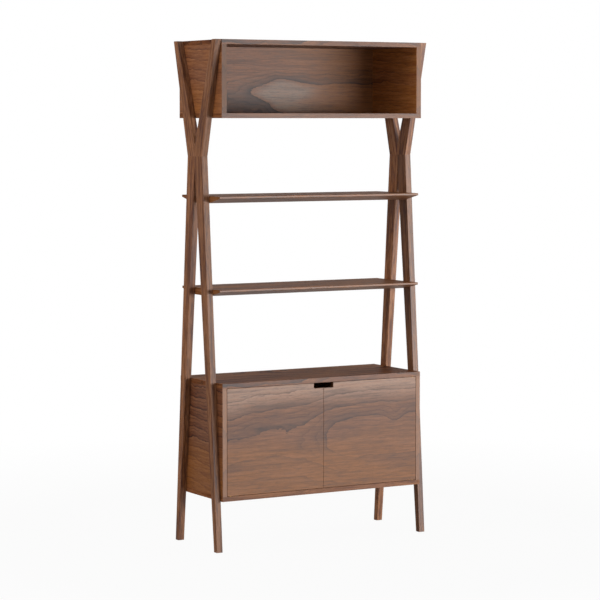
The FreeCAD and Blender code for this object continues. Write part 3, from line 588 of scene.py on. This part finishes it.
# %% Wax
WAXED = 0.3, 0.8
LIPPING_SHINE = 2.4


def shine_level(tree, space, lipping, board):
    """A ramp from dull to gloss with the larger of two dot products: how far the face looks to front or
    rear, and how far it looks down. Lippings shine more."""
    front = add(tree, "VectorMath", (space.facing, FRONT), operation="DOT_PRODUCT").outputs["Value"]
    front = add(tree, "Math", (front,), operation="ABSOLUTE")
    down = -board.under * UP
    below = add(tree, "VectorMath", (space.facing, down), operation="DOT_PRODUCT").outputs["Value"]
    waxed = add(tree, "Math", (front, below), operation="MAXIMUM")
    shine = add(tree, "MapRange", (waxed, *WAXED, board.dull, board.gloss))
    if lipping:
        strip = add(tree, "MapRange", (space.end, 0.0, 1.0, 1.0, LIPPING_SHINE))
        shine = add(tree, "Math", (shine, strip), operation="MULTIPLY")
    return shine


print("a plain board's shine:", PLAIN_BOARD["dull"], "to", PLAIN_BOARD["gloss"])

# %% Oil
OIL_IOR = 1.5
RELIEF_MM, RELIEF_STRENGTH = 0.15, 0.35
PORE_ROUGH = 0.4
SATIN_TO_DRY = 0.2, 1.0, 0.44, 0.6  # fibre and pore noise from and to, roughness


def oil(tree, tone, shine, wood, board):
    """The surface: roughness is a ramp on fibre plus a share of pore, height is fibre less pore."""
    rough = add(tree, "Math", (wood.pore, PORE_ROUGH, wood.fibre), operation="MULTIPLY_ADD")
    rough = add(tree, "MapRange", (rough, *SATIN_TO_DRY))
    height = add(tree, "Math", (wood.fibre, wood.pore), operation="SUBTRACT")
    bump = add(tree, "Bump", {"Height": height, "Strength": RELIEF_STRENGTH, "Distance": RELIEF_MM * MM})
    surface = add(tree, "BsdfPrincipled", {"Base Color": tone, "Roughness": rough, "IOR": OIL_IOR,
                                           "Specular IOR Level": shine, "Normal": bump})
    # An export that can't follow the link reads the socket's own number.
    surface.inputs["Specular IOR Level"].default_value = (board.gloss + board.dull) / 2
    return surface


print("roughness from", SATIN_TO_DRY[2], "to", SATIN_TO_DRY[3])

# %% [markdown]
# ## A board of walnut
# Now the steps are joined. A board differs from a plain one only in the numbers that are named when it
# is made, so that each material below reads as a short description of its wood.

# %% Walnut
def walnut(name, along, normal, heart, lipping=None, **changes):
    """Oiled walnut with its grain along one direction and its face towards another. heart is the eye's
    place, lipping the grain's direction on veneered ends, changes this board's own numbers."""
    board = SimpleNamespace(**{**PLAIN_BOARD, **changes})
    material, tree = new_material(name)
    space = board_space(tree, along, normal, heart, lipping)
    wood = features(tree, space.local, board)
    wood.warm = golden(tree, space.local, wood.zone, board)
    distance, across = heart_distance(tree, space.local, wood.bend, board)
    ring = count_years(tree, distance, across, wood, board)
    tone = wood_colour(tree, space, wood, ring, across, board)
    tone = rub_edges(tree, tone, wood, board)
    surface = oil(tree, tone, shine_level(tree, space, lipping, board), wood, board)
    add(tree, "OutputMaterial", {"Surface": surface})
    return material


def dress(material, *names):
    """Gives the named pieces one material in place of the one they came with."""
    for name in names:
        slots = PIECES[name].data.materials
        slots.clear()
        slots.append(material)


def middle(name):
    """The middle of a piece's box: half the sum of its corners."""
    low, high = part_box(name)
    return (low + high) / 2


print("the cubby's back is centred on", [round(value, 3) for value in middle("cubby_back")])

# %% [markdown]
# ## Doors
# One sheet of crown-cut veneer runs across both doors, with an eye in the right one. The top is pale,
# partly sapwood and partly a painted sheen, and low down the wood is golden, partly its own colour and
# partly painted where that sheen fades. So both doors share one material, and the figure passes over the
# gap between them, as it does where a maker cuts two doors from one sheet.

# %% Doors
DOOR_EYE_ACROSS, DOOR_EYE_UP = 0.289, 0.415
DOOR_KNOTS = ((-730, 80, 110, 160, -34), (51, 65, 40, 50, -28), (150, 80, 60, 60, 12))

# Crown cut: broad arches round one eye. Oil: the colour stays deep under a soft sheen.
eye = Vector((DOOR_EYE_ACROSS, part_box("right_door")[0].y, DOOR_EYE_UP))
# The top is painted pale, as sapwood and as sheen; the warmth across paints the bottom golden, partly where
# that sheen fades.
doors = walnut("walnut veneer, crown cut and oiled, doors", ACROSS, FRONT, eye, UP,
               swell=78, reach=303, year=47, sway=14, sap=150, knots=DOOR_KNOTS, lines=0.95, grain=1.2,
               warmth=(-0.06, 0, -1.8), gloss=0.42, seed=5.9)
dress(doors, "left_door", "right_door")
print(doors.name, "with", len(DOOR_KNOTS), "knots")

# %% [markdown]
# ## Backs
# The cubby's back is the most striking sheet, crown cut as the doors are: a grey eye with a dark line
# round it, and the face darkened to near black below it. The cabinet's back is hidden by the doors, so it
# is a plain sheet of the same wood.

# %% Backs
BACK_EYE = Vector((0.25, -4.5 * MM, -0.075))
BACK_KNOTS = ((-390, 0, 90, 60, 34), (-250, 65, 80, 40, 20),
              (-340, -45, 60, 40, 24), (-75, 60, 60, 40, -11))
BACKS = {
    "cubby_back": dict(knots=BACK_KNOTS, lines=1.5, later=0.15, in_gold=0.9, grain=1.25, ink=1.0,
                       light_eye=0.5),
    "cabinet_back": {},
}

# Crown cut: one eye and its rim. The darkening below it follows the fibres, so it looks streaked.
for back, figure in BACKS.items():
    name = f"walnut veneer, crown cut and oiled, {back}"
    sheet = walnut(name, ACROSS, FRONT, middle(back) + BACK_EYE, UP, depth=50, swell=52, reach=394,
                   first=82, year=45, sway=14, warmth=(0.15, 1.0, 0.5), gloss=0.38, shade=1.12, seed=5.9,
                   **figure)
    dress(sheet, back)
print("backs:", ", ".join(BACKS))

# %% [markdown]
# ## Tops and bottoms
# These boards are veneered with quarter-cut wood, whose lines run straight along the board: the heart is
# far away, so the face cuts the rings almost square. Their upper faces are the most dulled of all.

# %% Tops and bottoms
BOARD_EYE = Vector((0.2, 0.12, 0))
BOARDS = {
    "cubby_top": dict(lines=2.4, gloss=0.5, shade=1.05),
    "cubby_bottom": dict(lines=0.5, gloss=0.5, shade=0.88),
    "cabinet_top": dict(lines=2.4, gloss=0.5, shade=1.05),
    "cabinet_bottom": dict(lines=0.5, gloss=0.35, shade=1.15),
}

# Quarter cut: straight, reddish streaks. Rubbed dull on top: a gleam only on the front edge.
for board, finish in BOARDS.items():
    name = f"walnut veneer, quarter cut and oiled, {board}"
    sheet = walnut(name, ACROSS, UP, middle(board) + BOARD_EYE, DEEP, depth=110, year=48, grain=1.8,
                   dark=RED, dull=0.01, **finish)
    dress(sheet, board)
print("boards:", ", ".join(BOARDS))

# %% [markdown]
# ## Sides
# The sides of cubby and cabinet are crown cut with the grain from front to rear. The cabinet's are more
# golden than the cubby's. The cubby's right side is painted the lightest board and somewhat golden, as
# painted light for its inner face, which is seen in the shade, and its lippings are painted darker again,
# so that its lit front edge keeps the others' brightness.

# %% Sides
SIDE_EYE = Vector((0, 0.3, -0.33))
CABINET_SIDE = dict(lines=1.4, gloss=0.3, warmth=(0.35, 0, -1.0))
SIDES = {
    "cubby_left_side": dict(lines=0.8, gloss=0.17, shade=1.13, edge=0.53, warmth=(0.05, 0, 0)),
    # Painted lighter and more golden, for its inner face seen in the shade; the darker edge takes that back
    # on its lit front edge.
    "cubby_right_side": dict(lines=1.2, gloss=0.2, shade=2.1, edge=0.45, warmth=(0.25, 0, 0)),
    "cabinet_left_side": CABINET_SIDE,
    "cabinet_right_side": CABINET_SIDE,
}

# Crown cut far from the heart: wavy lines. Lipped: the cubby's front edges are darker strips, which on the
# right side take back its painted light.
for side, finish in SIDES.items():
    name = f"walnut veneer, crown cut and oiled, {side}"
    sheet = walnut(name, DEEP, ACROSS, middle(side) + SIDE_EYE, UP, depth=80, sway=40, year=40, dark=RED,
                   **finish)
    dress(sheet, side)
print("sides:", ", ".join(SIDES))

# %% [markdown]
# ## Shelves
# The shelves are solid boards, planed and oiled. Their ends show darker wood, and the bevels underneath
# are duller than the nose, which stands out as a light line in the photograph.

# %% Shelves
SHELF_EYE = Vector((0.3, 0.1, 0))
SHELVES = "upper_shelf", "lower_shelf", "inner_shelf"

# Solid and planed: fine straight lines. Oiled: a sheen on the nose, hardly any on top and below.
for shelf in SHELVES:
    name = f"solid walnut, planed and oiled, {shelf}"
    plank = walnut(name, ACROSS, UP, middle(shelf) + SHELF_EYE, DEEP, depth=120, year=30, lines=1.2,
                   grain=1.6, warmth=(0.05, 0, 0), shade=1.25, edge=0.65, gloss=0.66, dull=0.015,
                   under=0.37)
    dress(plank, shelf)
print("shelves:", ", ".join(SHELVES))

# %% [markdown]
# ## Limbs
# The limbs are sawn from straight solid boards, so the lines run along them. Each limb's brightness is
# painted to suit the light it gets: the right limbs, whose inner faces are seen in the shade, are painted
# the lightest. The grain leans with each limb, and the heart lies off to one side, so that each face shows
# its own lines.

# %% Limbs
LIMB_EYE = Vector((0.05, 0.09, 0.2))
LEANS = {"leg": 0.075, "arm": -0.26}
LIMBS = {  # brightness, painted up where a limb is seen in shade, and shine
    "left_front_leg": (0.82, 0.42), "left_rear_leg": (0.97, 0.42),
    "left_front_arm": (0.77, 0.42), "left_rear_arm": (0.86, 0.42),
    "right_front_leg": (0.9, 0.63), "right_rear_leg": (1.38, 0.48),
    "right_front_arm": (1.3, 0.67), "right_rear_arm": (1.45, 1.0),
}

# Solid, sawn along the grain and planed: strong, straight fibres and a sheen down the front.
for count, (limb, (shade, gloss)) in enumerate(LIMBS.items()):
    place, kind = limb.split("_")[1:]
    outward = -1 if place == "front" else 1
    lean = Vector((0, -outward * LEANS[kind], 1)).normalized()
    eye = middle(limb) + Vector((LIMB_EYE.x, outward * LIMB_EYE.y, LIMB_EYE.z))
    name = f"solid walnut, planed and oiled, {limb}"
    timber = walnut(name, lean, ACROSS, eye, swell=10, reach=700, year=13, sway=14, lines=1.3, grain=3.6,
                    warmth=(0.3, 0, 0), dark=RED, shade=shade, edge=0.65, gloss=gloss, seed=count)
    dress(timber, limb)
print("walnut pieces:", sum("walnut" in piece.data.materials[0].name for piece in PIECES.values()))

# %% [markdown]
# ## Metal fittings
# The fittings are hidden while the doors are shut. The hinge plates, leaves and washers are brass, sawn
# and brushed along their length and then left to tarnish. Screws, magnets, strikers and shelf pins are
# zinc-plated steel. Both are one kind of finish with different sizes, so one function makes them:
# patches of a second colour, and fine marks that only show in the gleam.

# %% Brass and steel
PATCHES, CLEAN_TO_DULL = (0.35, 0.7), (0.3, 0.7)
MARK_MM, MARK_STRENGTH = 0.02, 0.3


def metal(name, pale, dark, cloud, brushed, rough):
    """Bare metal: colour and roughness are ramps on noise with cells of cloud mm, and the height is noise
    with cells of brushed mm along X, Y and Z. rough is the roughness from the cleanest to the dullest."""
    material, tree = new_material(name)
    place = add(tree, "TexCoord").outputs["Object"]
    patch = add(tree, "TexNoise", {"Vector": place, "Scale": 1 / (cloud * MM), "Detail": 3.0})
    marks = add(tree, "VectorMath", (place, [1 / (size * MM) for size in brushed]), operation="MULTIPLY")
    marks = add(tree, "TexNoise", {"Vector": marks, "Scale": 1.0, "Detail": 2.0})
    tarnish = add(tree, "MapRange", (patch, *PATCHES))
    tone = add(tree, "MixRGB", (tarnish, colour(pale), colour(dark)))
    dull = add(tree, "MapRange", (patch, *CLEAN_TO_DULL, *rough))
    bump = add(tree, "Bump", {"Height": marks, "Strength": MARK_STRENGTH, "Distance": MARK_MM * MM})
    surface = add(tree, "BsdfPrincipled", {"Base Color": tone, "Metallic": 1.0, "Roughness": dull,
                                           "Normal": bump})
    add(tree, "OutputMaterial", {"Surface": surface})
    return material


# Brushing draws the gleam out across fine lines, and tarnish clouds the yellow with brown.
brass = metal("brass, brushed and tarnished", "#C6A15A", "#8A6A3C", cloud=9, brushed=(20, 0.4, 0.4),
              rough=(0.3, 0.5))
HINGES = [f"{side}_{level}_hinge_{part}" for side in ("left", "right") for level in ("lower", "upper")
          for part in ("plate", "leaf")]
dress(brass, *HINGES, "hinge_washers")
# Plating grows in small crystals, which the eye sees as a cold, unequal grey.
zinc = metal("steel, zinc plated", "#C3C6C8", "#8F9498", cloud=1.5, brushed=(1, 1, 1), rough=(0.28, 0.42))
dress(zinc, "hinge_plate_screws", "left_leaf_screws", "right_leaf_screws", "catch_screws", "catch_magnets",
      "left_striker", "right_striker", "shelf_pins")
print("metals:", brass.name, "and", zinc.name)

# %% [markdown]
# ## Nylon and beech
# The catch and the glides under the feet are black nylon, moulded in an eroded mould. The dowels are
# beech, a pale wood with short brown flecks. Both are dull grounds with specks, so again one function
# makes them.

# %% Nylon and beech
SPECKS = 0.45, 0.7
SPECK_STRENGTH = 0.4


def speckled(name, pale, dark, size, rough, height):
    """A dull material: colour, roughness and height are ramps on noise with cells of size mm. rough is the
    roughness from ground to speck, height the specks' in mm."""
    material, tree = new_material(name)
    place = add(tree, "TexCoord").outputs["Object"]
    speck = add(tree, "TexNoise", {"Vector": place, "Scale": 1 / (size * MM), "Detail": 3.0})
    amount = add(tree, "MapRange", (speck, *SPECKS))
    tone = add(tree, "MixRGB", (amount, colour(pale), colour(dark)))
    dull = add(tree, "MapRange", (speck, 0.0, 1.0, *rough))
    bump = add(tree, "Bump", {"Height": speck, "Strength": SPECK_STRENGTH, "Distance": height * MM})
    surface = add(tree, "BsdfPrincipled", {"Base Color": tone, "Roughness": dull, "Normal": bump})
    add(tree, "OutputMaterial", {"Surface": surface})
    return material


# The mould's grain breaks up the gleam, so the black looks soft.
nylon = speckled("black nylon, moulded", "#1B1C1E", "#121314", size=0.6, rough=(0.45, 0.65), height=0.03)
dress(nylon, "door_catch", "foot_glides")
# Turned and left bare: pale and dry, with brown flecks.
beech = speckled("beech, turned dowel", "#CFA67C", "#A87A50", size=1, rough=(0.6, 0.75), height=0.05)
dress(beech, "seam_dowels", "waist_dowels", "left_frame_dowels", "right_frame_dowels", "cubby_dowels",
      "cabinet_dowels")
finishes = {piece.data.materials[0].name for piece in PIECES.values()}
print(len(finishes), "finishes on", len(PIECES), "pieces")
